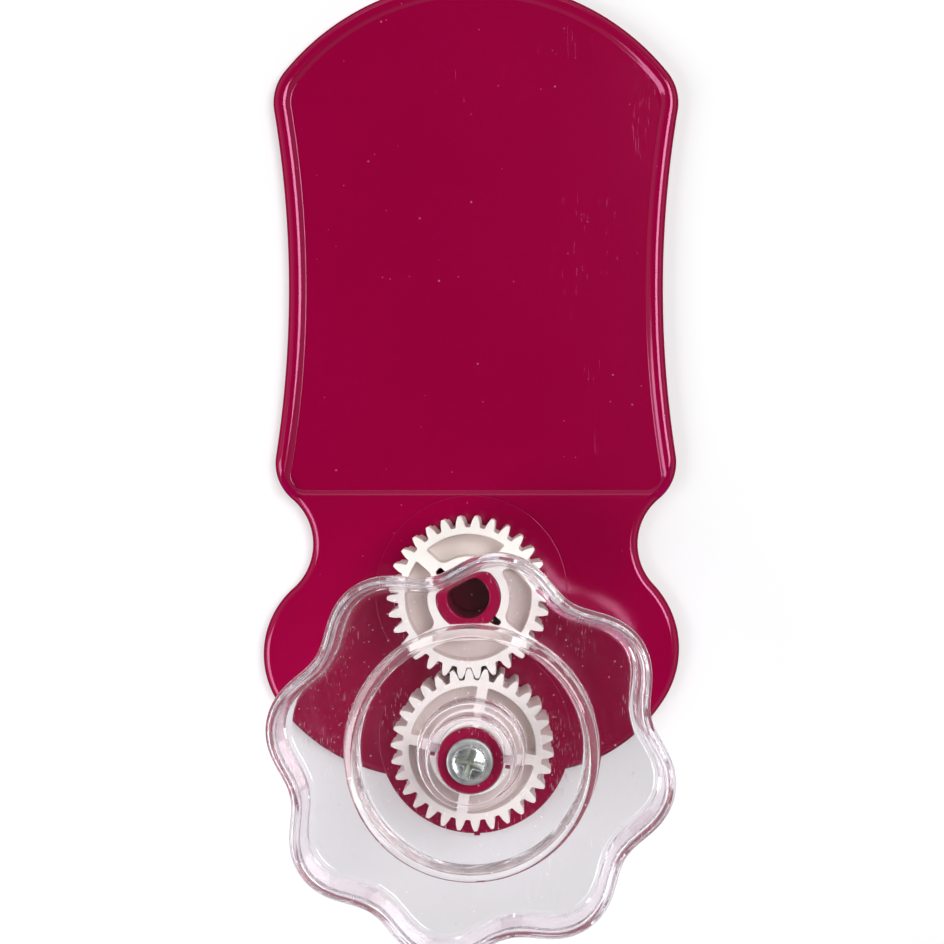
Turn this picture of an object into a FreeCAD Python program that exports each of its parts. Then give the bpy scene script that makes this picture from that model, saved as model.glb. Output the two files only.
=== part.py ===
import FreeCAD, Part
import math
import os

# Hand-turned paper crimper: a flat handle plate with two fixed posts, a pair of
# crimping gears stacked on each post, and a clear scalloped knob that turns the
# stack on the lower post. Millimetres, +Z up out of the plate's front face,
# +Y towards the handle end. The origin is the centre of the part's footprint, on
# the underside of the plate.

V = FreeCAD.Vector
os.makedirs("parts", exist_ok=True)

# ---------------------------------------------------------------- dimensions
# axes of the two posts
DRIVE_X, DRIVE_Y = 0.69, -48.88        # lower post, carries the knob
CENTRES = 25.0                         # distance between the posts
LINE_TILT = 1.49                       # the line of centres leans this many degrees left of +Y
PHASE = 0.9                            # rest turn of the drive stack from tooth-on-line, degrees

# handle plate
PLATE_T = 3.0                          # plate thickness
EDGE_R = 1.5                           # rounding of the plate's upper edge
TOP_CY, TOP_R = 87.95, 42.6            # arc of the handle's top end (centre above drive axis, radius)
SIDE_CX, SIDE_CY, SIDE_R = 220.36, 77.1, 188.0   # long hollow arc of each side
CORNER_TOP_R, CORNER_LOW_R = 8.5, 8.1  # rounded shoulders of the handle
WAIST_CX, WAIST_CY, WAIST_R = 38.25, 33.05, 10.18  # finger waists
HANDLE_DX = 0.1                        # handle centre line, sideways from the drive axis
LOBE_RIGHT = (16.15, 223.3, 26.7, -30.85)  # lobe radius, direction from waist, lower arc radius, join direction
LOBE_LEFT = (15.25, 228.4, 31.8, -39.15)
PAD_R, PAD_H = 16.5, 0.4               # raised disc under each gear stack
NUB_W, NUB_L, NUB_H = 1.0, 0.65, 1.6   # gate stub on the plate's lower end
# recessed panel in the handle
RIM_IN_TOP, RIM_IN_FLOOR = 1.75, 3.2   # rim width at its top and at the panel floor
PANEL_DEPTH = 0.72

# posts
POST_R = 5.30
IDLER_POST_TOP = 18.45
IDLER_HOLE_R, IDLER_HOLE_FLOOR = 3.45, 3.0
BOSS_R, BOSS_TOP = 7.6, 4.5            # thrust boss under each gear stack
SHOULDER_Z = 30.5                      # drive post shoulder under the knob's web
SPIGOT_R, SPIGOT_TOP = 2.6, 31.9       # spigot that passes through the web
CORE_R, CORE_TOP = 3.4, 17.0           # core hole in the drive post, open below
PILOT_R, PILOT_FLOOR = 1.50, 18.6      # screw hole

# gears
TEETH = 30
MODULE = CENTRES / TEETH
PRESSURE = 20.0
FIT = 0.06                             # radial running clearance on the posts
BORE_R = POST_R + FIT
BACKLASH = 0.10                        # tooth thinning, each gear, on the pitch circle
COARSE_TIP, COARSE_ROOT = 13.36, 11.50
FINE_TIP, FINE_ROOT = 13.05, 11.62
FINE_Z0, FINE_Z1 = 4.55, 11.55
COARSE_Z0, COARSE_Z1 = 11.60, 18.60
HUB_R = 6.73
RIM_R = 10.40
POCKET_FRONT, POCKET_BACK = 4.5, 1.2   # depth of the recesses on each face
SPOKE_NARROW, SPOKE_BROAD = 1.72, 2.3
KEY_W, KEY_R = 1.3, 6.80               # keyway width and its outer radius

# knob
LOBES = 8
KNOB_TURN = -10.3                      # bearing of one lobe, degrees clockwise from +Y is negative here
WAVE_A, WAVE_B, WAVE_C = 31.56, 1.808, -0.132   # mean radius, lobe wave, its second harmonic
DISC_Z0, DISC_Z1 = 18.95, 20.80
RIM_TOP = 28.2
RING_IN, RING_OUT, RING_TOP = 18.84, 20.60, 26.2
HUB_LOW_R, HUB_LOW_TOP = 8.72, 26.8
HUB_UP_R, HUB_UP_TOP = 7.10, 31.8
WEB_Z0, WEB_HOLE_R = 30.6, 2.70
FOOT_R = 8.0
TAB_W, TAB_R0, TAB_R1, TAB_Z0 = 1.2, 5.38, 6.68, 5.2

# screw and washer
WASHER_IN, WASHER_OUT, WASHER_T = 1.6, 3.67, 0.6
HEAD_R, HEAD_H = 2.79, 2.0
SHANK_R, SHANK_L = 1.45, 12.0
CROSS_TURN = -15.0

DRIVE = V(DRIVE_X, DRIVE_Y, 0)
ALPHA = 90.0 + LINE_TILT               # direction from drive axis to idler axis
IDLER = DRIVE + V(CENTRES * math.cos(math.radians(ALPHA)), CENTRES * math.sin(math.radians(ALPHA)), 0)
DRIVE_TOOTH = ALPHA + PHASE            # direction of one tooth of the drive gears
IDLER_TOOTH = ALPHA + 180.0 - PHASE + 180.0 / TEETH
DRIVE_SPOKE = DRIVE_TOOTH - 12.0       # direction of one spoke of the drive gears
IDLER_SPOKE = IDLER_TOOTH + 132.0


# ---------------------------------------------------------------- helpers
def unit(deg):
    return V(math.cos(math.radians(deg)), math.sin(math.radians(deg)), 0)


def cyl(r, z0, z1, at):
    return Part.makeCylinder(r, z1 - z0, V(at.x, at.y, z0))


def tube(r0, r1, z0, z1, at):
    return cyl(r1, z0, z1, at).cut(cyl(r0, z0 - 1, z1 + 1, at))


def circles(c1, r1, c2, r2):
    d = c2 - c1
    dist = d.Length
    a = (r1 * r1 - r2 * r2 + dist * dist) / (2 * dist)
    h = math.sqrt(max(r1 * r1 - a * a, 0.0))
    m = c1 + d * (a / dist)
    n = V(-d.y, d.x, 0) * (h / dist)
    return m + n, m - n


def arc_between(c, r, p, q, convex_out):
    """Arc edge on the circle (c, r) from p to q, short way."""
    mid = ((p - c) + (q - c)) * 0.5
    if mid.Length < 1e-9:
        mid = V(-(p - c).y, (p - c).x, 0)
    mid = c + mid * (r / mid.Length)
    return Part.Arc(p, mid, q).toShape()


def save(name, shape):
    shape = shape.removeSplitter()
    solids = shape.Solids
    assert solids and shape.isValid(), name
    if len(solids) == 1:
        shape = solids[0]
    shape.exportStep("parts/%s.step" % name)
    print("%-20s solids %d  volume %.1f mm3" % (name, len(solids), shape.Volume))
    return shape


# ---------------------------------------------------------------- plate outline
def side_points(sign, inset=0.0, lobe=None):
    """Centres, radii and joints of one side's arcs, moved inwards by inset."""
    hx = HANDLE_DX * sign
    ct = V(hx, TOP_CY, 0)
    cs = V(hx + SIDE_CX, SIDE_CY, 0)
    cw = V(WAIST_CX, WAIST_CY, 0)
    c1 = max(circles(ct, TOP_R - CORNER_TOP_R, cs, SIDE_R + CORNER_TOP_R), key=lambda p: p.y)
    c2 = min(circles(cs, SIDE_R + CORNER_LOW_R, cw, WAIST_R + CORNER_LOW_R), key=lambda p: p.x)
    out = {"ct": (ct, TOP_R - inset), "c1": (c1, CORNER_TOP_R - inset),
           "cs": (cs, SIDE_R + inset), "c2": (c2, CORNER_LOW_R - inset)}
    t1 = ct + (c1 - ct).normalize() * (TOP_R - inset)
    t2 = cs + (c1 - cs).normalize() * (SIDE_R + inset)
    t3 = cs + (c2 - cs).normalize() * (SIDE_R + inset)
    out["t"] = [t1, t2, t3]
    if lobe:
        lr, ldir, br, bdir = lobe
        cl = cw + unit(ldir) * (WAIST_R + lr)
        cb = cl + unit(bdir) * (lr - br)
        t4 = c2 + (cw - c2).normalize() * CORNER_LOW_R
        t5 = cw + unit(ldir) * WAIST_R
        t6 = cl + unit(bdir) * lr
        end = min(circles(cb, br, V(0, 0, 0), PAD_R), key=lambda p: p.y)
        out.update({"cw": (cw, WAIST_R), "cl": (cl, lr), "cb": (cb, br)})
        out["t"] += [t4, t5, t6, end]
    return out


def mirrored(v, sign):
    return V(v.x * sign, v.y, v.z)


def place(v, sign=1):
    return mirrored(v, sign) + DRIVE


def chain(sign, data, keys):
    """Edges of one side from the handle's top to its end."""
    top = data["ct"][0] + V(-data["ct"][0].x, 0, 0)
    edges = []
    pts = list(data["t"])
    for k, p, q in zip(keys, pts[:-1], pts[1:]):
        c, r = data[k]
        edges.append(arc_between(place(c, sign), r, place(p, sign), place(q, sign), True))
    return edges


def plate_wire():
    right = side_points(1, 0.0, LOBE_RIGHT)
    left = side_points(-1, 0.0, LOBE_LEFT)
    top = Part.Arc(place(left["t"][0], -1), DRIVE + V(HANDLE_DX, TOP_CY + TOP_R, 0), place(right["t"][0])).toShape()
    edges = [top]
    edges += chain(1, right, ["c1", "cs", "c2", "cw", "cl", "cb"])
    a, b = place(right["t"][-1]), place(left["t"][-1], -1)
    edges.append(Part.Arc(a, DRIVE + V(0, -PAD_R, 0), b).toShape())
    edges += chain(-1, left, ["c1", "cs", "c2", "cw", "cl", "cb"])
    return Part.Wire(Part.__sortEdges__(edges))


def panel_wire(inset, z):
    """The recess: the handle's outline moved inwards, closed by a straight lower edge."""
    sides = {}
    for s in (1, -1):
        d = side_points(s, inset)
        c2, r2 = d["c2"]
        d["t"].append(V(c2.x, c2.y - r2, 0))
        sides[s] = d
    r, l = sides[1], sides[-1]
    edges = [Part.Arc(place(l["t"][0], -1), DRIVE + V(HANDLE_DX, TOP_CY + TOP_R - inset, 0), place(r["t"][0])).toShape()]
    edges += chain(1, r, ["c1", "cs", "c2"])
    edges.append(Part.LineSegment(place(r["t"][-1]), place(l["t"][-1], -1)).toShape())
    edges += chain(-1, l, ["c1", "cs", "c2"])
    w = Part.Wire(Part.__sortEdges__(edges))
    w.translate(V(0, 0, z))
    return w


# ---------------------------------------------------------------- base plate
def base_plate():
    outline = plate_wire()
    plate = Part.Face(outline).extrude(V(0, 0, PLATE_T))
    # the upper edge is rounded all round, except where the lower pad forms the end
    top_edges = []
    for e in plate.Edges:
        b = e.BoundBox
        if abs(b.ZMin - PLATE_T) < 1e-6 and abs(b.ZMax - PLATE_T) < 1e-6:
            m = e.valueAt((e.FirstParameter + e.LastParameter) / 2) - DRIVE
            if abs(math.hypot(m.x, m.y) - PAD_R) > 0.01:
                top_edges.append(e)
    plate = plate.makeFillet(EDGE_R, top_edges)
    # recessed panel with sloping walls
    w0 = panel_wire(RIM_IN_FLOOR, PLATE_T - PANEL_DEPTH)
    w1 = panel_wire(RIM_IN_TOP, PLATE_T + 0.001)
    pocket = Part.makeLoft([w0, w1], True, True)
    plate = plate.cut(pocket)
    # pads and thrust bosses
    plate = plate.fuse([cyl(PAD_R, 0.0, PLATE_T + PAD_H, DRIVE),
                        cyl(PAD_R, PLATE_T - 1.0, PLATE_T + PAD_H, IDLER),
                        cyl(BOSS_R, PLATE_T, BOSS_TOP, DRIVE),
                        cyl(BOSS_R, PLATE_T, BOSS_TOP, IDLER),
                        cyl(POST_R, PLATE_T - 1.0, IDLER_POST_TOP, IDLER),
                        cyl(POST_R, PLATE_T - 1.0, SHOULDER_Z, DRIVE),
                        cyl(SPIGOT_R, SHOULDER_Z - 1.0, SPIGOT_TOP, DRIVE),
                        Part.makeBox(NUB_W, NUB_L + 1.0, NUB_H,
                                     V(DRIVE_X + 0.35 - NUB_W / 2, DRIVE_Y - PAD_R - NUB_L, 0.6))])
    # blind hole in the idler post, core hole and screw hole in the drive post
    for s in (cyl(IDLER_HOLE_R, IDLER_HOLE_FLOOR, IDLER_POST_TOP + 1, IDLER),
              cyl(CORE_R, -1.0, CORE_TOP, DRIVE),
              cyl(PILOT_R, PILOT_FLOOR, SPIGOT_TOP + 1, DRIVE)):
        plate = plate.cut(s)
    return plate


# ---------------------------------------------------------------- gears
def tooth_points(tip, root):
    """Half-angle of the tooth at rising radii, from the root fillet to the rounded tip."""
    rp = MODULE * TEETH / 2
    rb = rp * math.cos(math.radians(PRESSURE))
    half_p = math.pi / (2 * TEETH) - BACKLASH / 2 / rp
    inv_p = math.tan(math.radians(PRESSURE)) - math.radians(PRESSURE)

    def half(r):
        if r <= rb:
            return half_p + inv_p
        a = math.acos(rb / r)
        return half_p + inv_p - (math.tan(a) - a)

    fil = 0.30                       # root fillet
    rnd = 0.13                       # tip rounding
    pts = []
    # root fillet, a quarter arc from the root circle to the flank
    r0 = root + fil
    base = half(r0)
    for i in range(0, 5):
        t = math.radians(90.0 * i / 4)
        r = root + fil * (1 - math.cos(t))
        pts.append((r, base + fil * (1 - math.sin(t)) / r))
    n = 5
    for i in range(1, n + 1):
        r = r0 + (tip - rnd - r0) * i / n
        pts.append((r, half(r)))
    at = half(tip - rnd)
    for i in range(1, 4):
        t = math.radians(90.0 * i / 3)
        r = tip - rnd + rnd * math.sin(t)
        pts.append((r, at - rnd * (1 - math.cos(t)) / r - 0.0))
    return pts


def gear_face(tip, root, phase):
    """Toothed disc as a closed wire: flank splines joined by tip and root arcs."""
    pts = tooth_points(tip, root)
    edges = []
    step = 360.0 / TEETH
    rise = lambda k: [V(r * math.cos(math.radians(k) - h), r * math.sin(math.radians(k) - h), 0) for r, h in pts]
    fall = lambda k: [V(r * math.cos(math.radians(k) + h), r * math.sin(math.radians(k) + h), 0) for r, h in reversed(pts)]
    for i in range(TEETH):
        k = phase + i * step
        up, down = rise(k), fall(k)
        nxt = rise(k + step)
        for run in (up, down):
            s = Part.BSplineCurve()
            s.interpolate(run)
            edges.append(s.toShape())
        edges.append(Part.Arc(up[-1], unit(k) * tip, down[0]).toShape())
        edges.append(Part.Arc(down[-1], unit(k + step / 2) * root, nxt[0]).toShape())
    return Part.Face(Part.Wire(Part.__sortEdges__(edges)))


def gear(tip, root, z0, z1, at, phase, spoke_at, front_spoke, back_spoke):
    g = gear_face(tip, root, phase).extrude(V(0, 0, z1 - z0))
    g.translate(V(at.x, at.y, z0))
    g = g.cut(cyl(BORE_R, z0 - 1, z1 + 1, at))
    # four spokes between the hub and the toothed rim, on both faces
    for depth0, depth1, w in ((z1 - POCKET_FRONT, z1 + 1, front_spoke), (z0 - 1, z0 + POCKET_BACK, back_spoke)):
        ring = tube(HUB_R, RIM_R, depth0, depth1, at)
        for q in (0, 90):
            bar = Part.makeBox(2 * RIM_R + 4, w, depth1 - depth0 + 2, V(-RIM_R - 2, -w / 2, 0))
            bar.rotate(V(0, 0, 0), V(0, 0, 1), spoke_at + q)
            bar.translate(V(at.x, at.y, depth0 - 1))
            ring = ring.cut(bar)
        g = g.cut(ring)
    # two keyways in the hub, in line with one pair of spokes
    key = Part.makeBox(2 * KEY_R, KEY_W, z1 - z0 + 2, V(-KEY_R, -KEY_W / 2, 0))
    key.rotate(V(0, 0, 0), V(0, 0, 1), spoke_at + 90)
    key.translate(V(at.x, at.y, z0 - 1))
    return g.cut(key)


# ---------------------------------------------------------------- knob
def wave(offset, z, n=96):
    """Scalloped closed curve round the drive axis, moved outwards by offset along its normal."""
    pts = []
    for i in range(n):
        t = 2 * math.pi * i / n
        u = LOBES * t
        r = WAVE_A + WAVE_B * math.cos(u) + WAVE_C * math.cos(2 * u)
        dr = -LOBES * (WAVE_B * math.sin(u) + 2 * WAVE_C * math.sin(2 * u))
        a = t + math.radians(90.0 + KNOB_TURN)
        p = V(r * math.cos(a), r * math.sin(a), 0)
        tan = V(dr * math.cos(a) - r * math.sin(a), dr * math.sin(a) + r * math.cos(a), 0).normalize()
        p = p + V(tan.y, -tan.x, 0) * offset
        pts.append(p + DRIVE + V(0, 0, z))
    s = Part.BSplineCurve()
    s.interpolate(pts, PeriodicFlag=True)
    return Part.Wire(s.toShape())


def knob():
    outer = Part.makeLoft([wave(-1.6, DISC_Z0), wave(-1.02, DISC_Z0 + 0.6), wave(-0.06, RIM_TOP - 0.5), wave(-0.45, RIM_TOP)], True, True)
    inner = Part.makeLoft([wave(-2.9, DISC_Z1), wave(-1.80, RIM_TOP - 0.5), wave(-1.40, RIM_TOP), wave(-1.0, RIM_TOP + 0.5)], True, True)
    k = outer.cut(inner)
    k = k.fuse([tube(RING_IN, RING_OUT, DISC_Z1 - 0.5, RING_TOP, DRIVE),
                cyl(HUB_LOW_R, DISC_Z0, HUB_LOW_TOP, DRIVE),
                cyl(HUB_UP_R, DISC_Z0, HUB_UP_TOP, DRIVE),
                cyl(FOOT_R, COARSE_Z1, DISC_Z1, DRIVE)])
    k = k.cut(cyl(BORE_R, 0, WEB_Z0, DRIVE))
    k = k.cut(cyl(WEB_HOLE_R, 0, HUB_UP_TOP + 1, DRIVE))
    # two long tabs that key the drive gears to the knob
    for s in (1, -1):
        tab = Part.makeBox(TAB_R1 - TAB_R0, TAB_W, DISC_Z1 - TAB_Z0, V(TAB_R0, -TAB_W / 2, TAB_Z0))
        tab.rotate(V(0, 0, 0), V(0, 0, 1), DRIVE_SPOKE + 90 * s)
        tab.translate(DRIVE)
        k = k.fuse(tab)
    return k


# ---------------------------------------------------------------- screw and washer
def washer():
    z = SPIGOT_TOP
    w = tube(WASHER_IN, WASHER_OUT, z, z + WASHER_T, DRIVE)
    rims = [e for e in w.Edges if abs(e.BoundBox.ZMin - e.BoundBox.ZMax) < 1e-6 and abs(e.BoundBox.XLength - 2 * WASHER_OUT) < 0.01 and e.BoundBox.ZMax > z + 0.1]
    return w.makeChamfer(0.12, rims)


def screw():
    z = SPIGOT_TOP + WASHER_T
    shank = cyl(SHANK_R, z - SHANK_L, z + 0.1, DRIVE)
    tip = Part.makeCone(0.5, SHANK_R, 0.9, V(DRIVE_X, DRIVE_Y, z - SHANK_L - 0.9))
    # pan head: short cylindrical edge, rounded shoulder and nearly flat crown
    prof = [V(0, 0, z), V(HEAD_R, 0, z), V(HEAD_R, 0, z + 0.55)]
    edges = [Part.LineSegment(prof[0], prof[1]).toShape(), Part.LineSegment(prof[1], prof[2]).toShape(),
             Part.Arc(prof[2], V(HEAD_R - 0.45, 0, z + 1.45), V(HEAD_R - 1.35, 0, z + 1.87)).toShape(),
             Part.Arc(V(HEAD_R - 1.35, 0, z + 1.87), V(0.75, 0, z + HEAD_H - 0.03), V(0, 0, z + HEAD_H)).toShape(),
             Part.LineSegment(V(0, 0, z + HEAD_H), prof[0]).toShape()]
    head = Part.Face(Part.Wire(edges)).revolve(V(0, 0, 0), V(0, 0, 1), 360)
    head.translate(DRIVE)
    s = head.fuse([shank, tip])
    # cross recess, narrowing towards its floor
    for q in (0, 90):
        def blade(l, w, zz):
            return Part.makePolygon([V(-l, -w, zz), V(l, -w, zz), V(l, w, zz), V(-l, w, zz), V(-l, -w, zz)])
        slot = Part.makeLoft([blade(0.55, 0.26, z + 0.35), blade(1.62, 0.40, z + HEAD_H + 0.05)], True, True)
        slot.rotate(V(0, 0, 0), V(0, 0, 1), 90 + CROSS_TURN + q)
        slot.translate(DRIVE)
        s = s.cut(slot)
    return s


# ---------------------------------------------------------------- build
base = save("base_plate", base_plate())
save("fine_drive_gear", gear(FINE_TIP, FINE_ROOT, FINE_Z0, FINE_Z1, DRIVE, DRIVE_TOOTH, DRIVE_SPOKE, SPOKE_NARROW, SPOKE_BROAD))
save("coarse_drive_gear", gear(COARSE_TIP, COARSE_ROOT, COARSE_Z0, COARSE_Z1, DRIVE, DRIVE_TOOTH, DRIVE_SPOKE, SPOKE_NARROW, SPOKE_BROAD))
save("fine_idler_gear", gear(FINE_TIP, FINE_ROOT, FINE_Z0, FINE_Z1, IDLER, IDLER_TOOTH, IDLER_SPOKE, SPOKE_BROAD, SPOKE_NARROW))
save("coarse_idler_gear", gear(COARSE_TIP, COARSE_ROOT, COARSE_Z0, COARSE_Z1, IDLER, IDLER_TOOTH, IDLER_SPOKE, SPOKE_BROAD, SPOKE_NARROW))
kn = save("knob", knob())
save("screw_washer", washer())
save("retaining_screw", screw())
for n, s in (("base", base), ("knob", kn)):
    b = s.optimalBoundingBox() if hasattr(s, "optimalBoundingBox") else s.BoundBox
    print(n, "x %.3f %.3f  y %.3f %.3f  z %.3f %.3f" % (b.XMin, b.XMax, b.YMin, b.YMax, b.ZMin, b.ZMax))
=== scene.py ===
import math

import bmesh
import bpy
import numpy as np
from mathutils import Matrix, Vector
from mathutils.geometry import delaunay_2d_cdt


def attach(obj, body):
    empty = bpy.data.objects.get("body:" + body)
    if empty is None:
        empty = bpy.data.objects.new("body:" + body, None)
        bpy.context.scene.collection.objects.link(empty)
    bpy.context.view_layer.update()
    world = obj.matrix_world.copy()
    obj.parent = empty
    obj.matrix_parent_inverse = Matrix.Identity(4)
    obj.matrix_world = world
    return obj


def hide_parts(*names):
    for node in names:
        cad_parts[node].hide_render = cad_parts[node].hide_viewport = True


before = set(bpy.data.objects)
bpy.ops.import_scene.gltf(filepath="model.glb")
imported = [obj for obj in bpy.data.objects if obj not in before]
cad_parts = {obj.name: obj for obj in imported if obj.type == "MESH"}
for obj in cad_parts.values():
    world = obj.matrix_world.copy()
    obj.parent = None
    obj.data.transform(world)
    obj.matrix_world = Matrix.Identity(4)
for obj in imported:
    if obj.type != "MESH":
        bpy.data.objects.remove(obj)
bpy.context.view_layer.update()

scene = bpy.context.scene
MM = 0.001

# ------------------------------------------------------------------ the frame's own dimensions, in millimetres
DRIVE = np.array([0.69, -48.88])
CENTRES, LINE_TILT, PHASE, TEETH = 25.0, 1.49, 0.9, 30
ALPHA = 90.0 + LINE_TILT
IDLER = DRIVE + CENTRES * np.array([math.cos(math.radians(ALPHA)), math.sin(math.radians(ALPHA))])
DRIVE_TOOTH = ALPHA + PHASE
IDLER_TOOTH = ALPHA + 180.0 - PHASE + 180.0 / TEETH
DRIVE_SPOKE, IDLER_SPOKE = DRIVE_TOOTH - 12.0, IDLER_TOOTH + 132.0
MODULE = CENTRES / TEETH
PLATE_T, PAD_R, PAD_TOP = 3.0, 16.5, 3.4
PANEL_Z = 2.28
POST_R, BORE_R = 5.30, 5.36
LOBES, KNOB_TURN = 8, -10.3
WAVE_A, WAVE_B, WAVE_C = 31.56, 1.808, -0.132


# ------------------------------------------------------------------ mesh building
class Shell:
    """Rings of points joined by strips and flat fills, in millimetres."""

    def __init__(self):
        self.v, self.f, self.n = [], [], 0

    def ring(self, xy, z):
        xy = np.asarray(xy, float)
        zz = np.broadcast_to(np.asarray(z, float), (len(xy),))
        self.v.append(np.column_stack([xy, zz]))
        at = np.arange(self.n, self.n + len(xy))
        self.n += len(xy)
        return at

    def co(self):
        return np.concatenate(self.v)

    def bridge(self, a, b):
        a2, b2 = np.roll(a, -1), np.roll(b, -1)
        self.f += [tuple(q) for q in np.column_stack([a, a2, b2, b]).tolist()]

    def stack(self, p, n, steps):
        rings = [self.ring(p + n * o, z) for o, z in steps]
        for a, b in zip(rings, rings[1:]):
            self.bridge(a, b)
        return rings

    def point(self, x, y, z):
        self.v.append(np.array([[x, y, z]]))
        self.n += 1
        return self.n - 1

    def cap(self, ring, x, y, z):
        c = self.point(x, y, z)
        for i, j in zip(ring.tolist(), np.roll(ring, -1).tolist()):
            self.f.append((i, j, c))

    def fill(self, rings):
        """Flat triangulation between closed rings at one height, even-odd."""
        co = self.co()
        ids = np.concatenate(rings)
        pts = co[ids][:, :2]
        edges, k = [], 0
        for r in rings:
            m = len(r)
            edges += [(k + i, k + (i + 1) % m) for i in range(m)]
            k += m
        out = delaunay_2d_cdt([Vector(p) for p in pts.tolist()], edges, [], 0, 1e-7, True)
        verts, faces, orig = out[0], out[2], out[3]
        if len(verts) != len(pts):
            print("fill: point count changed", len(pts), len(verts))
        back = np.array([o[0] if len(o) else -1 for o in orig])
        tri = np.array([f for f in faces if len(f) == 3])
        vx = np.array([[v.x, v.y] for v in verts])
        cen = vx[tri].mean(1)
        ok = np.zeros(len(cen), bool)
        for r in rings:
            loop = co[r][:, :2]
            x0, y0 = loop[:, 0], loop[:, 1]
            x1, y1 = np.roll(x0, -1), np.roll(y0, -1)
            dy = np.where(np.abs(y1 - y0) < 1e-12, 1e-12, y1 - y0)
            for s in range(0, len(cen), 2000):
                px, py = cen[s:s + 2000, 0:1], cen[s:s + 2000, 1:2]
                hit = ((y0 > py) != (y1 > py)) & (px < x0 + (py - y0) * (x1 - x0) / dy)
                ok[s:s + 2000] ^= (hit.sum(1) % 2).astype(bool)
        tri = tri[ok & (back[tri] >= 0).all(1)]
        self.f += [tuple(t) for t in ids[back[tri]].tolist()]

    def mesh(self, name, at=(0.0, 0.0)):
        co = self.co()
        co[:, 0] += at[0]
        co[:, 1] += at[1]
        me = bpy.data.meshes.new(name)
        me.from_pydata((co * MM).tolist(), [], self.f)
        bm = bmesh.new()
        bm.from_mesh(me)
        bmesh.ops.recalc_face_normals(bm, faces=bm.faces)
        bm.to_mesh(me)
        bm.free()
        me.update()
        return me


def quarter(d0, z0, d1, z1, n, start):
    """Quarter-ellipse steps from (d0, z0) to (d1, z1); start 'wall' leaves along z, 'flat' leaves along d."""
    out = []
    for i in range(n + 1):
        t = math.pi / 2 * i / n
        if start == "wall":
            out.append((d0 + (d1 - d0) * (1 - math.cos(t)), z0 + (z1 - z0) * math.sin(t)))
        else:
            out.append((d0 + (d1 - d0) * math.sin(t), z0 + (z1 - z0) * (1 - math.cos(t))))
    return out


def circle(n=192, r=1.0):
    t = np.arange(n) * 2 * math.pi / n
    u = np.column_stack([np.cos(t), np.sin(t)])
    return u * r, u


def lathe(profile, n=192):
    """Closed turned solid; the profile starts and ends on the axis, as (r, z)."""
    s = Shell()
    _, u = circle(n)
    rings = [s.ring(u * r, z) for r, z in profile[1:-1]]
    for a, b in zip(rings, rings[1:]):
        s.bridge(a, b)
    s.cap(rings[0], 0, 0, profile[0][1])
    s.cap(rings[-1], 0, 0, profile[-1][1])
    return s


def tube_lathe(profile, n=192):
    """Turned ring; the profile is a closed loop of (r, z)."""
    s = Shell()
    _, u = circle(n)
    rings = [s.ring(u * r, z) for r, z in profile]
    for a, b in zip(rings, rings[1:] + rings[:1]):
        s.bridge(a, b)
    return s


def normals_of(p):
    """Outward unit normals of a counter-clockwise closed polyline."""
    e = np.roll(p, -1, 0) - p
    e = e / np.maximum(np.linalg.norm(e, axis=1, keepdims=True), 1e-12)
    t = e + np.roll(e, 1, 0)
    t = t / np.maximum(np.linalg.norm(t, axis=1, keepdims=True), 1e-12)
    return np.column_stack([t[:, 1], -t[:, 0]])


def obj_from(me):
    ob = bpy.data.objects.new(me.name, me)
    scene.collection.objects.link(ob)
    return ob


def combine(first, others, operation="UNION"):
    """Exact boolean of closed meshes; returns a new mesh and removes the inputs."""
    ob = obj_from(first)
    tools = []
    for k, o in enumerate(others):
        me, op = o if isinstance(o, tuple) else (o, operation)
        t = obj_from(me)
        tools.append(t)
        m = ob.modifiers.new("b%d" % k, "BOOLEAN")
        m.operation, m.solver, m.object = op, "EXACT", t
    dep = bpy.context.evaluated_depsgraph_get()
    out = bpy.data.meshes.new_from_object(ob.evaluated_get(dep))
    for t in tools + [ob]:
        bpy.data.objects.remove(t)
    return out


def finish_piece(me, name, body, node, mat, sharp=32.0, clean=None):
    if clean:
        bm = bmesh.new()
        bm.from_mesh(me)
        bmesh.ops.remove_doubles(bm, verts=bm.verts, dist=clean * MM)
        bmesh.ops.recalc_face_normals(bm, faces=bm.faces)
        bm.to_mesh(me)
        bm.free()
    me.name = name
    ob = obj_from(me)
    ob.name = name
    me.polygons.foreach_set("use_smooth", [True] * len(me.polygons))
    me.set_sharp_from_angle(angle=math.radians(sharp))
    me.materials.clear()
    me.materials.append(mat)
    m = ob.modifiers.new("flat_faces_lead", "WEIGHTED_NORMAL")
    m.keep_sharp, m.weight = True, 50
    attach(ob, body)
    if node:
        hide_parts(node)
    return ob


# ------------------------------------------------------------------ materials
def new_mat(name):
    m = bpy.data.materials.new(name)
    m.use_nodes = True
    nt = m.node_tree
    nt.nodes.clear()
    out = nt.nodes.new("ShaderNodeOutputMaterial")
    return m, nt, out


def node(nt, kind, **kw):
    n = nt.nodes.new(kind)
    for k, v in kw.items():
        if k in n.inputs.keys() and not hasattr(n, k):
            n.inputs[k].default_value = v
        else:
            setattr(n, k, v)
    return n


def coords(nt, scale=(1, 1, 1), turn=(0, 0, 0), shift=(0, 0, 0)):
    tc = nt.nodes.new("ShaderNodeTexCoord")
    mp = nt.nodes.new("ShaderNodeMapping")
    mp.inputs["Scale"].default_value = scale
    mp.inputs["Rotation"].default_value = turn
    mp.inputs["Location"].default_value = shift
    nt.links.new(tc.outputs["Object"], mp.inputs["Vector"])
    return mp.outputs["Vector"]


def noise(nt, vec, scale, detail=2.0, rough=0.5, distortion=0.0):
    n = nt.nodes.new("ShaderNodeTexNoise")
    n.inputs["Scale"].default_value = scale
    n.inputs["Detail"].default_value = detail
    n.inputs["Roughness"].default_value = rough
    n.inputs["Distortion"].default_value = distortion
    nt.links.new(vec, n.inputs["Vector"])
    return n.outputs["Fac"]


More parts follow.
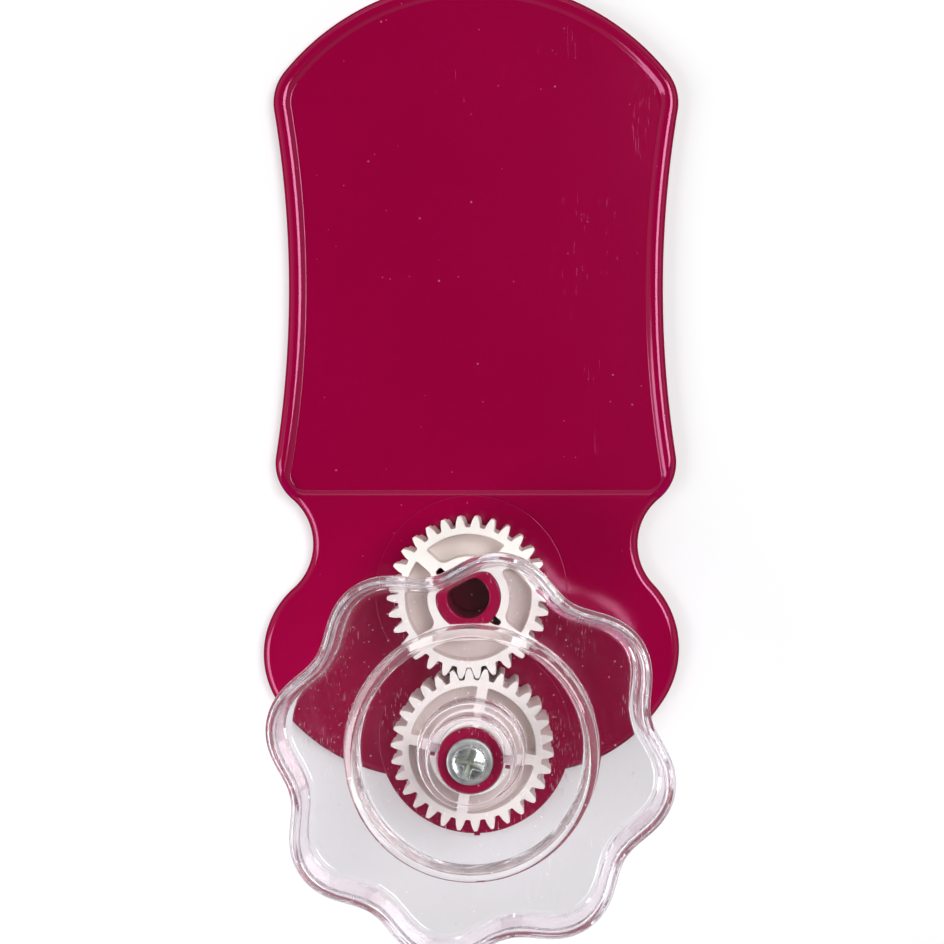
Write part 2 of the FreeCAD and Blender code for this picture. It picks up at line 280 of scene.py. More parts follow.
def ramp(nt, fac, stops):
    r = nt.nodes.new("ShaderNodeValToRGB")
    els = r.color_ramp.elements
    while len(els) < len(stops):
        els.new(0.5)
    for e, (p, c) in zip(els, stops):
        e.position = p
        e.color = c if len(c) == 4 else (*c, 1)
    nt.links.new(fac, r.inputs["Fac"])
    return r.outputs["Color"]


def math_node(nt, op, a, b=0.0, c=0.0, clamp=False):
    m = nt.nodes.new("ShaderNodeMath")
    m.operation, m.use_clamp = op, clamp
    for i, x in enumerate((a, b, c)):
        if hasattr(x, "is_linked") or hasattr(x, "node"):
            nt.links.new(x, m.inputs[i])
        else:
            m.inputs[i].default_value = x
    return m.outputs[0]


def mix_colour(nt, fac, a, b, blend="MIX"):
    m = nt.nodes.new("ShaderNodeMix")
    m.data_type, m.blend_type = "RGBA", blend
    for i, x in ((0, fac), (6, a), (7, b)):
        if hasattr(x, "node"):
            nt.links.new(x, m.inputs[i])
        else:
            m.inputs[i].default_value = x if i == 0 else (*x, 1)
    return m.outputs[2]


def bump(nt, height, strength, distance, normal=None):
    b = nt.nodes.new("ShaderNodeBump")
    b.inputs["Strength"].default_value = strength
    b.inputs["Distance"].default_value = distance
    nt.links.new(height, b.inputs["Height"])
    if normal is not None:
        nt.links.new(normal, b.inputs["Normal"])
    return b.outputs["Normal"]


def specks(nt, scale, share, shift=(0, 0, 0)):
    """Rare small dots: 1 inside a dot."""
    v = nt.nodes.new("ShaderNodeTexVoronoi")
    v.inputs["Scale"].default_value = scale
    v.inputs["Randomness"].default_value = 1.0
    nt.links.new(coords(nt, shift=shift), v.inputs["Vector"])
    near = math_node(nt, "LESS_THAN", v.outputs["Distance"], 0.16)
    sep = nt.nodes.new("ShaderNodeSeparateColor")
    nt.links.new(v.outputs["Color"], sep.inputs[0])
    rare = math_node(nt, "LESS_THAN", sep.outputs[0], share)
    return math_node(nt, "MULTIPLY", near, rare)


def scratches(nt, turn, length, width, level, shift=(0, 0, 0), cover=0.52, patch=90.0):
    """Short straight scratches along one direction: 1 on a scratch."""
    v = coords(nt, scale=(1.0 / width, 1.0 / length, 1.0 / length), turn=(0, 0, math.radians(turn)), shift=shift)
    n = noise(nt, v, 1.0, 1.0, 0.4, 0.15)
    line = ramp(nt, n, [(level, (0, 0, 0)), (level + 0.03, (1, 1, 1))])
    where = ramp(nt, noise(nt, coords(nt, shift=shift), patch, 2.0), [(cover, (0, 0, 0)), (cover + 0.1, (1, 1, 1))])
    return math_node(nt, "MULTIPLY", line, where)


def magenta_plastic():
    m, nt, out = new_mat("magenta_plastic")
    p = nt.nodes.new("ShaderNodeBsdfPrincipled")
    wide = noise(nt, coords(nt), 22.0, 2.0)
    fine = noise(nt, coords(nt), 520.0, 3.0)
    tone = ramp(nt, wide, [(0.30, (0.308, 0.0004, 0.041)), (0.70, (0.334, 0.0005, 0.047))])
    tone = mix_colour(nt, math_node(nt, "MULTIPLY", fine, 0.10), tone, (0.25, 0.0004, 0.034))
    # painted glow: the core of the idler post is painted a brighter red, standing in for light that comes through its
    # thin wall and glows down the core
    at = nt.nodes.new("ShaderNodeSeparateXYZ")
    nt.links.new(coords(nt), at.inputs[0])
    ax = math_node(nt, "SUBTRACT", at.outputs["X"], float(IDLER[0]) * MM)
    ay = math_node(nt, "SUBTRACT", at.outputs["Y"], float(IDLER[1]) * MM)
    r2 = math_node(nt, "ADD", math_node(nt, "MULTIPLY", ax, ax), math_node(nt, "MULTIPLY", ay, ay))
    glow_core = math_node(nt, "MULTIPLY", math_node(nt, "LESS_THAN", r2, (3.52 * MM) ** 2), math_node(nt, "LESS_THAN", at.outputs["Z"], 18.1 * MM))
    tone = mix_colour(nt, glow_core, tone, (0.40, 0.0008, 0.046))
    dust = specks(nt, 900.0, 0.012)
    dust2 = specks(nt, 1500.0, 0.012, (3, 1, 2))
    dots = math_node(nt, "MAXIMUM", dust, dust2)
    tone = mix_colour(nt, math_node(nt, "MULTIPLY", dots, 0.28), tone, (0.75, 0.30, 0.40))
    hair = scratches(nt, 8, 0.006, 0.00009, 0.74, (1, 2, 0), 0.56, 40.0)
    hair2 = scratches(nt, 62, 0.004, 0.00008, 0.75, (4, 1, 0), 0.56, 40.0)
    hairs = math_node(nt, "MAXIMUM", hair, hair2)
    smear = noise(nt, coords(nt, scale=(1, 0.4, 1)), 60.0, 4.0, 0.6)
    rough = math_node(nt, "MULTIPLY_ADD", smear, 0.05, 0.09)
    rough = math_node(nt, "ADD", rough, math_node(nt, "MULTIPLY", hairs, 0.2))
    rough = math_node(nt, "ADD", rough, math_node(nt, "MULTIPLY", dots, 0.4), clamp=True)
    nt.links.new(tone, p.inputs["Base Color"])
    nt.links.new(rough, p.inputs["Roughness"])
    peel = noise(nt, coords(nt), 260.0, 2.0)
    n1 = bump(nt, peel, 0.04, 0.0003)
    n2 = bump(nt, math_node(nt, "MULTIPLY", hairs, -1.0), 0.12, 0.00003, n1)
    nt.links.new(n2, p.inputs["Normal"])
    p.inputs["Specular IOR Level"].default_value = 0.85
    p.inputs["Specular Tint"].default_value = (1.0, 0.42, 0.70, 1)
    p.inputs["Subsurface Weight"].default_value = 0.15
    p.inputs["Subsurface Radius"].default_value = (1.0, 0.08, 0.25)
    p.inputs["Subsurface Scale"].default_value = 0.0015
    nt.links.new(p.outputs[0], out.inputs["Surface"])
    return m


def white_plastic():
    m, nt, out = new_mat("white_plastic")
    p = nt.nodes.new("ShaderNodeBsdfPrincipled")
    wide = noise(nt, coords(nt), 70.0, 3.0)
    tone = ramp(nt, wide, [(0.30, (0.860, 0.818, 0.762)), (0.72, (0.890, 0.860, 0.806))])
    # painted shade: the recesses and tooth flanks below each gear's face are painted a darker rosy tone, mottled by
    # noise, standing in for shade and for light bounced off the magenta plate
    at = nt.nodes.new("ShaderNodeSeparateXYZ")
    nt.links.new(coords(nt), at.inputs[0])
    below = ramp(nt, math_node(nt, "MULTIPLY", at.outputs["Z"], 50.0), [(0.895, (1, 1, 1)), (0.925, (0, 0, 0))])
    shade_mottle = noise(nt, coords(nt, shift=(7, 3, 2)), 160.0, 3.0, 0.6)
    shaded_below_top = math_node(nt, "MULTIPLY", below, math_node(nt, "MULTIPLY_ADD", shade_mottle, 0.3, 0.7))
    tone = mix_colour(nt, shaded_below_top, tone, (0.770, 0.690, 0.660))
    # painted red light: the white walls inside the keyways, below the face, are painted red, standing in for light
    # reddened by the magenta post
    near_bore = None
    for axis in (DRIVE, IDLER):
        ax = math_node(nt, "SUBTRACT", at.outputs["X"], float(axis[0]) * MM)
        ay = math_node(nt, "SUBTRACT", at.outputs["Y"], float(axis[1]) * MM)
        r2 = math_node(nt, "ADD", math_node(nt, "MULTIPLY", ax, ax), math_node(nt, "MULTIPLY", ay, ay))
        inside = math_node(nt, "LESS_THAN", r2, (6.62 * MM) ** 2)
        near_bore = inside if near_bore is None else math_node(nt, "MAXIMUM", near_bore, inside)
    under_face = ramp(nt, math_node(nt, "MULTIPLY", at.outputs["Z"], 50.0), [(0.915, (1, 1, 1)), (0.927, (0, 0, 0))])
    painted_red_light = math_node(nt, "MULTIPLY", near_bore, under_face)
    tone = mix_colour(nt, painted_red_light, tone, (0.80, 0.020, 0.035))
    grime = noise(nt, coords(nt, shift=(2, 5, 1)), 330.0, 4.0, 0.65)
    tone = mix_colour(nt, ramp(nt, grime, [(0.56, (0, 0, 0)), (0.80, (0.22, 0.22, 0.22))]), tone, (0.66, 0.56, 0.54))
    dots = specks(nt, 900.0, 0.016)
    tone = mix_colour(nt, math_node(nt, "MULTIPLY", dots, 0.6), tone, (0.18, 0.13, 0.12))
    nt.links.new(tone, p.inputs["Base Color"])
    rough = math_node(nt, "MULTIPLY_ADD", noise(nt, coords(nt), 240.0, 3.0), 0.20, 0.34)
    nt.links.new(rough, p.inputs["Roughness"])
    nt.links.new(bump(nt, noise(nt, coords(nt), 900.0, 3.0), 0.10, 0.0002), p.inputs["Normal"])
    p.inputs["Subsurface Weight"].default_value = 0.35
    p.inputs["Subsurface Radius"].default_value = (1.0, 0.7, 0.6)
    p.inputs["Subsurface Scale"].default_value = 0.0010
    nt.links.new(p.outputs[0], out.inputs["Surface"])
    return m


def clear_plastic():
    m, nt, out = new_mat("clear_plastic")
    p = nt.nodes.new("ShaderNodeBsdfPrincipled")
    p.inputs["IOR"].default_value = 1.58
    tint = ramp(nt, noise(nt, coords(nt), 30.0, 2.0), [(0.3, (0.712, 0.700, 0.718)), (0.7, (0.747, 0.736, 0.750))])
    a = scratches(nt, 6, 0.0018, 0.00009, 0.71, (0, 0, 0), 0.49, 110.0)
    b = scratches(nt, -14, 0.0024, 0.00008, 0.72, (5, 3, 0), 0.49, 110.0)
    c = scratches(nt, 74, 0.0024, 0.00008, 0.75, (2, 7, 0), 0.56, 80.0)
    marks = math_node(nt, "MAXIMUM", math_node(nt, "MAXIMUM", a, b), c)
    worn = scratches(nt, 5, 0.0019, 0.00007, 0.70, (3, 1, 0), 0.40, 700.0)
    worn = math_node(nt, "MAXIMUM", worn, scratches(nt, -9, 0.0013, 0.00006, 0.71, (6, 2, 0), 0.40, 700.0))
    spot = nt.nodes.new("ShaderNodeVectorMath")
    spot.operation = "DISTANCE"
    nt.links.new(coords(nt), spot.inputs[0])
    spot.inputs[1].default_value = ((DRIVE[0] + 15.6) * MM, (DRIVE[1] + 1.6) * MM, 0.0208)
    near = ramp(nt, math_node(nt, "MULTIPLY", spot.outputs["Value"], 100.0), [(0.35, (1, 1, 1)), (0.62, (0, 0, 0))])
    marks = math_node(nt, "MAXIMUM", marks, math_node(nt, "MULTIPLY", worn, near))
    dots = math_node(nt, "MAXIMUM", specks(nt, 1000.0, 0.07), specks(nt, 1600.0, 0.06, (2, 2, 5)))
    marks = math_node(nt, "MAXIMUM", marks, dots)
    # the standing walls of rim, ring and hub were dulled by the mould; the disc and the hub's web are polished. The
    # walls are also tinted rosy, a painted reflection of the magenta plate, and the ring's rib a lighter tint, a
    # painted gleam
    at = nt.nodes.new("ShaderNodeSeparateXYZ")
    nt.links.new(coords(nt), at.inputs[0])
    dx = math_node(nt, "SUBTRACT", at.outputs["X"], float(DRIVE[0]) * MM)
    dy = math_node(nt, "SUBTRACT", at.outputs["Y"], float(DRIVE[1]) * MM)
    far = math_node(nt, "SQRT", math_node(nt, "ADD", math_node(nt, "MULTIPLY", dx, dx), math_node(nt, "MULTIPLY", dy, dy)))
    out_of_web = ramp(nt, math_node(nt, "MULTIPLY", far, 100.0), [(0.58, (0, 0, 0)), (0.62, (1, 1, 1))])
    above = ramp(nt, math_node(nt, "MULTIPLY", at.outputs["Z"], 30.0), [(0.632, (0, 0, 0)), (0.655, (1, 1, 1))])
    walls = math_node(nt, "MULTIPLY", out_of_web, above)
    in_ring = math_node(nt, "MULTIPLY", math_node(nt, "GREATER_THAN", far, 17.0 * MM), math_node(nt, "LESS_THAN", far, 21.9 * MM))
    # painted tint: rosy walls as a painted reflection of the magenta plate, a lighter ring rib as a painted gleam
    painted_wall_tint = mix_colour(nt, in_ring, (0.860, 0.790, 0.838), (0.930, 0.905, 0.925))
    tone = mix_colour(nt, walls, tint, painted_wall_tint)
    # the key tabs below the hub are rubbed dull in the keyways
    tabs = math_node(nt, "LESS_THAN", at.outputs["Z"], 18.595 * MM)
    tone = mix_colour(nt, tabs, tone, (0.74, 0.60, 0.63))
    # painted shade: two small dark red marks on the hub's top, one on each side, standing in for the shaded keyways
    # seen through the hub
    lean = math.radians(-10.0)
    mu = math_node(nt, "ADD", math_node(nt, "MULTIPLY", dx, math.cos(lean)), math_node(nt, "MULTIPLY", dy, math.sin(lean)))
    mv = math_node(nt, "ADD", math_node(nt, "MULTIPLY", dx, -math.sin(lean)), math_node(nt, "MULTIPLY", dy, math.cos(lean)))
    mu = math_node(nt, "ABSOLUTE", math_node(nt, "SUBTRACT", math_node(nt, "ABSOLUTE", mu), 6.00 * MM))
    mv = math_node(nt, "ABSOLUTE", math_node(nt, "SUBTRACT", mv, 0.22 * MM))
    painted_keyway_shade = math_node(nt, "MULTIPLY", math_node(nt, "LESS_THAN", mu, 0.40 * MM), math_node(nt, "LESS_THAN", mv, 0.30 * MM))
    painted_keyway_shade = math_node(nt, "MULTIPLY", painted_keyway_shade, math_node(nt, "GREATER_THAN", at.outputs["Z"], 31.7 * MM))
    nt.links.new(mix_colour(nt, painted_keyway_shade, tone, (0.20, 0.030, 0.075)), p.inputs["Base Color"])
    haze = ramp(nt, noise(nt, coords(nt), 55.0, 4.0, 0.6), [(0.35, (0, 0, 0)), (0.75, (1, 1, 1))])
    rough = math_node(nt, "MULTIPLY_ADD", haze, 0.03, 0.015)
    rough = math_node(nt, "ADD", rough, math_node(nt, "MULTIPLY", walls, 0.040))
    rough = math_node(nt, "ADD", rough, math_node(nt, "MULTIPLY", marks, 0.25), clamp=True)
    nt.links.new(rough, p.inputs["Roughness"])
    clear = math_node(nt, "SUBTRACT", 0.997, math_node(nt, "MULTIPLY", marks, 0.19))
    clear = math_node(nt, "SUBTRACT", clear, math_node(nt, "MULTIPLY", walls, 0.10))
    clear = math_node(nt, "SUBTRACT", clear, math_node(nt, "MULTIPLY", painted_keyway_shade, 0.80))
    clear = math_node(nt, "SUBTRACT", clear, math_node(nt, "MULTIPLY", tabs, 0.80), clamp=True)
    nt.links.new(clear, p.inputs["Transmission Weight"])
    n1 = bump(nt, noise(nt, coords(nt), 120.0, 2.0), 0.05, 0.0004)
    n2 = bump(nt, math_node(nt, "MULTIPLY", marks, -1.0), 0.15, 0.00004, n1)
    nt.links.new(n2, p.inputs["Normal"])
    t = nt.nodes.new("ShaderNodeBsdfTransparent")
    t.inputs[0].default_value = (0.89, 0.875, 0.89, 1)
    lp = nt.nodes.new("ShaderNodeLightPath")
    mx = nt.nodes.new("ShaderNodeMixShader")
    nt.links.new(lp.outputs["Is Shadow Ray"], mx.inputs[0])
    nt.links.new(p.outputs[0], mx.inputs[1])
    nt.links.new(t.outputs[0], mx.inputs[2])
    nt.links.new(mx.outputs[0], out.inputs["Surface"])
    return m


def zinc(name, dark=1.0, rough0=0.20, recess=False):
    m, nt, out = new_mat(name)
    p = nt.nodes.new("ShaderNodeBsdfPrincipled")
    p.inputs["Metallic"].default_value = 1.0
    n = noise(nt, coords(nt), 900.0, 4.0, 0.6)
    tone = ramp(nt, n, [(0.3, (0.50 * dark, 0.53 * dark, 0.53 * dark)), (0.7, (0.80 * dark, 0.82 * dark, 0.80 * dark))])
    rough = math_node(nt, "MULTIPLY_ADD", noise(nt, coords(nt), 1500.0, 3.0), 0.22, rough0)
    if recess:
        # the driver recess below the crown is rougher, and painted a darker grey mottled by noise: painted shade in the
        # recess
        at = nt.nodes.new("ShaderNodeSeparateXYZ")
        nt.links.new(coords(nt), at.inputs[0])
        ax = math_node(nt, "SUBTRACT", at.outputs["X"], float(DRIVE[0]) * MM)
        ay = math_node(nt, "SUBTRACT", at.outputs["Y"], float(DRIVE[1]) * MM)
        r2 = math_node(nt, "ADD", math_node(nt, "MULTIPLY", ax, ax), math_node(nt, "MULTIPLY", ay, ay))
        near = math_node(nt, "LESS_THAN", r2, (2.55 * MM) ** 2)
        crown = math_node(nt, "MULTIPLY_ADD", r2, -1000.0 / 18.0, 34.33 * MM)
        shaded_below_top = math_node(nt, "MULTIPLY", near, math_node(nt, "LESS_THAN", at.outputs["Z"], crown))
        worn = ramp(nt, noise(nt, coords(nt, shift=(1, 4, 2)), 1300.0, 4.0, 0.7), [(0.35, (0.36, 0.38, 0.34)), (0.7, (0.62, 0.64, 0.59))])
        tone = mix_colour(nt, shaded_below_top, tone, worn)
        rough = math_node(nt, "ADD", rough, math_node(nt, "MULTIPLY", shaded_below_top, 0.22))
    nt.links.new(tone, p.inputs["Base Color"])
    nt.links.new(rough, p.inputs["Roughness"])
    nt.links.new(bump(nt, noise(nt, coords(nt), 1800.0, 3.0), 0.18, 0.0001), p.inputs["Normal"])
    nt.links.new(p.outputs[0], out.inputs["Surface"])
    return m


MAGENTA, WHITE, CLEAR = magenta_plastic(), white_plastic(), clear_plastic()
ZINC, ZINC_RING = zinc("zinc_screw", 1.08, 0.17, True), zinc("zinc_washer", 0.70, 0.42)


# ------------------------------------------------------------------ base plate
def unit(deg):
    return np.array([math.cos(math.radians(deg)), math.sin(math.radians(deg))])


def ang(v):
    return math.degrees(math.atan2(v[1], v[0]))


def circles(c1, r1, c2, r2):
    d = c2 - c1
    dist = np.linalg.norm(d)
    a = (r1 * r1 - r2 * r2 + dist * dist) / (2 * dist)
    h = math.sqrt(max(r1 * r1 - a * a, 0.0))
    m = c1 + d * (a / dist)
    n = np.array([-d[1], d[0]]) * (h / dist)
    return m + n, m - n


TOP_CY, TOP_R = 87.95, 42.6
SIDE_CX, SIDE_CY, SIDE_R = 220.36, 77.1, 188.0
CORNER_TOP_R, CORNER_LOW_R = 8.5, 8.1
WAIST_C, WAIST_R = np.array([38.25, 33.05]), 10.18
HANDLE_DX = 0.1
LOBE = {1: (16.15, 223.3, 26.7, -30.85), -1: (15.25, 228.4, 31.8, -39.15)}


def side_data(sign):
    hx = HANDLE_DX * sign
    ct, cs = np.array([hx, TOP_CY]), np.array([hx + SIDE_CX, SIDE_CY])
    c1 = max(circles(ct, TOP_R - CORNER_TOP_R, cs, SIDE_R + CORNER_TOP_R), key=lambda p: p[1])
    c2 = min(circles(cs, SIDE_R + CORNER_LOW_R, WAIST_C, WAIST_R + CORNER_LOW_R), key=lambda p: p[0])
    lr, ldir, br, bdir = LOBE[sign]
    cl = WAIST_C + unit(ldir) * (WAIST_R + lr)
    cb = cl + unit(bdir) * (lr - br)
    return ct, c1, cs, c2, cl, cb, lr, ldir, br, bdir


def arc(c, r, a0, a1, spacing, hollow=False, count=None):
    """Points from angle a0 to a1 without the last one, with outward normals."""
    while a1 - a0 > 180:
        a1 -= 360
    while a1 - a0 < -180:
        a1 += 360
    n = count or max(2, int(round(abs(math.radians(a1 - a0)) * r / spacing)))
    t = np.radians(a0 + (a1 - a0) * np.arange(n) / n)
    u = np.column_stack([np.cos(t), np.sin(t)])
    return c + u * r, (-u if hollow else u)


def right_side(sign):
    """Outline of one side from the top centre to the low centre, x outwards."""
    ct, c1, cs, c2, cl, cb, lr, ldir, br, bdir = side_data(sign)
    a_top = ang(c1 - ct)
    a_s1, a_s2 = ang(c1 - cs), ang(c2 - cs)
    a_c2w = ang(WAIST_C - c2)
    runs = [
        arc(ct, TOP_R, 90 + math.degrees(ct[0] / TOP_R), a_top, 0.55),
        arc(c1, CORNER_TOP_R, a_top, ang(cs - c1), 0.30),
        arc(cs, SIDE_R, a_s1, a_s2, 0.9, True),
        arc(c2, CORNER_LOW_R, ang(cs - c2), a_c2w, 0.30),
        arc(WAIST_C, WAIST_R, ang(c2 - WAIST_C), ldir, 0.30, True),
        arc(cl, lr, ldir - 180, bdir, 0.40),
        arc(cb, br, bdir, -90.0, 0.6),
    ]
    return np.concatenate([r[0] for r in runs]), np.concatenate([r[1] for r in runs]), cb, br


def outline():
    """Counter-clockwise outline of the plate without the pad disc, and its outward normals."""
    pr, nr, cbr, rr = right_side(1)
    pl, nl, cbl, rl = right_side(-1)
    pl, nl = pl * [-1, 1], nl * [-1, 1]
    low_r = np.array([[cbr[0], cbr[1] - rr]])
    low_l = np.array([[-cbl[0], cbl[1] - rl]])
    k = np.linspace(0, 1, 40)[1:-1, None]
    line = low_l + (low_r - low_l) * k
    down = np.array([[0.0, -1.0]])
    p = np.concatenate([pl, low_l, line, low_r, pr[:0:-1]])
    n = np.concatenate([nl, down, np.repeat(down, len(line), 0), down, nr[:0:-1]])
    return p, n


def handle_ring(inset, y_low, fillet):
    """The handle's outline moved inwards, closed below by a straight line with rounded corners; fixed point counts."""
    halves = []
    for sign in (1, -1):
        ct, c1, cs, c2, *_ = side_data(sign)
        rs = SIDE_R + inset
        fy = y_low + fillet
        fx = cs[0] - math.sqrt((rs + fillet) ** 2 - (cs[1] - fy) ** 2)
        fc = np.array([fx, fy])
        a_top = ang(c1 - ct)
        runs = [
            arc(ct, TOP_R - inset, 90 + math.degrees(ct[0] / TOP_R), a_top, 1, count=110),
            arc(c1, CORNER_TOP_R - inset, a_top, ang(cs - c1), 1, count=44),
            arc(cs, rs, ang(c1 - cs), ang(fc - cs), 1, True, count=120),
            arc(fc, fillet, ang(cs - fc), -90.0, 1, count=36),
        ]
        k = np.arange(60)[:, None] / 60.0
        run = np.array([[fx, y_low]]) * (1 - k) + np.array([[0.0, y_low]]) * k
        halves.append(np.concatenate([r[0] for r in runs] + [run]))
    r, l = halves
    l = l * [-1, 1]
    return np.concatenate([l, np.array([[0.0, y_low]]), r[:0:-1]])


def bead_fall(width=1.62, depth=PLATE_T - PANEL_Z):
    """Inner slope of the rim as shares of width and depth: a round shoulder, a straight slope and a small foot."""
    steep = math.radians(40)
    out = [(1.70 * math.sin(steep * i / 11), 1.70 * (1 - math.cos(steep * i / 11))) for i in range(12)]
    foot = [(width - 0.40 * math.sin(steep * (1 - i / 6)), depth - 0.40 * (1 - math.cos(steep * (1 - i / 6)))) for i in range(7)]
    return [(x / width, z / depth) for x, z in out + foot]


def base_plate():
    p, n = outline()
    s = Shell()
    steps = quarter(-0.30, 0.0, 0.0, 0.30, 4, "flat") + quarter(0.0, 1.35, -1.50, PLATE_T, 14, "wall")
    rings = s.stack(p, n, steps)
    hole, _ = circle(96, 10.0)
    h = s.stack(hole, hole * 0, [(0, 0.0), (0, PLATE_T)])
    top, floor = handle_ring(1.56, 40.92, 3.9), handle_ring(3.18, 42.52, 2.5)
    walls = [s.ring(top + (floor - top) * u, PLATE_T - (PLATE_T - PANEL_Z) * w) for u, w in bead_fall()]
    for a, b in zip(walls, walls[1:]):
        s.bridge(a, b)
    s.fill([rings[0], h[0]])
    s.fill([rings[-1], h[1], walls[0]])
    s.fill([walls[-1]])
    body = s.mesh("plate", DRIVE)
    pad = [(PAD_R, 3.29)] + quarter(PAD_R, 3.29, PAD_R - 0.11, PAD_TOP, 4, "wall")[1:]
    foot = [(7.75, PAD_TOP)] + [(7.6, 3.55), (7.6, 4.38), (7.5, 4.5), (5.42, 4.5), (POST_R, 4.62)]
    drive = [(0, 17.0), (3.0, 17.0), (3.4, 16.6), (3.4, 0.25), (3.65, 0.0), (PAD_R - 0.3, 0.0), (PAD_R - 0.09, 0.09), (PAD_R, 0.3)] + pad + foot
    drive += [(POST_R, 19.0), (5.26, 29.6)] + quarter(5.26, 30.25, 5.01, 30.5, 5, "wall") + [(4.9, 30.5), (4.6, 30.5), (3.2, 30.5), (2.85, 30.5), (2.75, 30.5), (2.6, 30.65), (2.6, 31.8), (2.5, 31.9), (1.62, 31.9), (1.5, 31.75), (1.5, 18.9), (0, 18.6)]
    idler = [(0, 1.0), (PAD_R, 1.0)] + pad + foot
    idler += [(POST_R, 17.9)] + quarter(POST_R, 18.2, POST_R - 0.25, 18.45, 5, "wall") + [(3.70, 18.45)] + quarter(3.70, 18.45, 3.45, 18.2, 4, "flat")[1:] + [(3.38, 3.5), (3.1, 3.08), (0, 3.06)]
    d, i = lathe(drive, 256).mesh("d", DRIVE), lathe(idler, 256).mesh("i", IDLER)
    nub = Shell()
    q = np.array([[-0.5, -PAD_R - 0.62], [0.5, -PAD_R - 0.62], [0.56, -PAD_R + 1.0], [-0.56, -PAD_R + 1.0]]) + [0.35, 0]
    r = nub.stack(q, normals_of(q), [(-0.12, 0.6), (0, 0.72), (0, 2.05), (-0.14, 2.2)])
    nub.fill([r[0]])
    nub.fill([r[-1]])
    me = combine(body, [d, i, nub.mesh("nub", DRIVE)])
    return finish_piece(me, "plate_with_posts", "base", "base_plate", MAGENTA, 34.0, clean=0.004)


# ------------------------------------------------------------------ gears
def tooth_points(tip, root):
    rp = MODULE * TEETH / 2
    rb = rp * math.cos(math.radians(20))
    half_p = math.pi / (2 * TEETH) - 0.05 / rp
    inv_p = math.tan(math.radians(20)) - math.radians(20)

    def half(r):
        if r <= rb:
            return half_p + inv_p
        a = math.acos(rb / r)
        return half_p + inv_p - (math.tan(a) - a)

    fil, rnd = 0.30, 0.16
    r0 = root + fil
    base = half(r0)
    pts = []
    for i in range(7):
        t = math.pi / 2 * i / 6
        r = root + fil * (1 - math.cos(t))
        pts.append((r, base + fil * (1 - math.sin(t)) / r))
    for i in range(1, 8):
        r = r0 + (tip - rnd - r0) * i / 7
        pts.append((r, half(r)))
    at = half(tip - rnd)
    for i in range(1, 6):
        t = math.pi / 2 * i / 5
        r = tip - rnd + rnd * math.sin(t)
        pts.append((r, at - rnd * (1 - math.cos(t)) / r))
    return pts


def gear_outline(tip, root, phase):
    pts = tooth_points(tip, root)
    out = []
    for k in range(TEETH):
        c = math.radians(phase + k * 360.0 / TEETH)
        out += [(r, c - h) for r, h in pts]
        out.append((tip, c))
        out += [(r, c + h) for r, h in reversed(pts)]
        gap = c + math.pi / TEETH
        h0 = pts[0][1]
        out += [(root, gap - (math.pi / TEETH - h0) / 2), (root, gap), (root, gap + (math.pi / TEETH - h0) / 2)]
    a = np.array(out)
    p = np.column_stack([a[:, 0] * np.cos(a[:, 1]), a[:, 0] * np.sin(a[:, 1])])
    return p, normals_of(p)


def rot(p, deg):
    c, s = math.cos(math.radians(deg)), math.sin(math.radians(deg))
    return p @ np.array([[c, s], [-s, c]])


def pocket(r_in, r_out, w, c_in, c_out):
    """Quarter window between two spokes that lie on +X and +Y, with rounded corners, counter-clockwise."""
    h = w / 2
    # corners on the spoke along +X
    o = np.array([math.sqrt((r_out - c_out) ** 2 - (h + c_out) ** 2), h + c_out])
    i = np.array([math.sqrt((r_in + c_in) ** 2 - (h + c_in) ** 2), h + c_in])
    pts = []

    def add(c, r, a0, a1, n):
        for k in range(n + 1):
            t = math.radians(a0 + (a1 - a0) * k / n)
            pts.append((c[0] + r * math.cos(t), c[1] + r * math.sin(t)))

    a_o, a_i = ang(o), ang(i)
    add(i, c_in, 180 + a_i, 270, 6)
    add(o, c_out, -90, a_o, 5)
    add((0, 0), r_out, a_o + 1.0, 90 - a_o - 1.0, 30)
    add(o[::-1], c_out, 90 - a_o, 180, 5)
    add(i[::-1], c_in, 180, 270 - a_i, 6)
    add((0, 0), r_in, 90 - a_i - 2.0, a_i + 2.0, 18)
    return np.array(pts)


def keyed_bore(phase):
    """Bore with two keyways, counter-clockwise."""
    h, kr = 0.65, 6.78
    a0 = math.degrees(math.asin(h / BORE_R))
    pts = []
    for s in (0, 180):
        quarter_pts = []
        for x, y in ((math.sqrt(BORE_R ** 2 - h * h), -h), (kr - 0.25, -h), (kr, -h + 0.25), (kr, h - 0.25), (kr - 0.25, h), (math.sqrt(BORE_R ** 2 - h * h), h)):
            quarter_pts.append((x, y))
        for k in range(1, 60):
            t = math.radians(a0 + (180 - 2 * a0) * k / 60)
            quarter_pts.append((BORE_R * math.cos(t), BORE_R * math.sin(t)))
        pts.append(rot(np.array(quarter_pts), s))
    return rot(np.concatenate(pts), phase + 90)


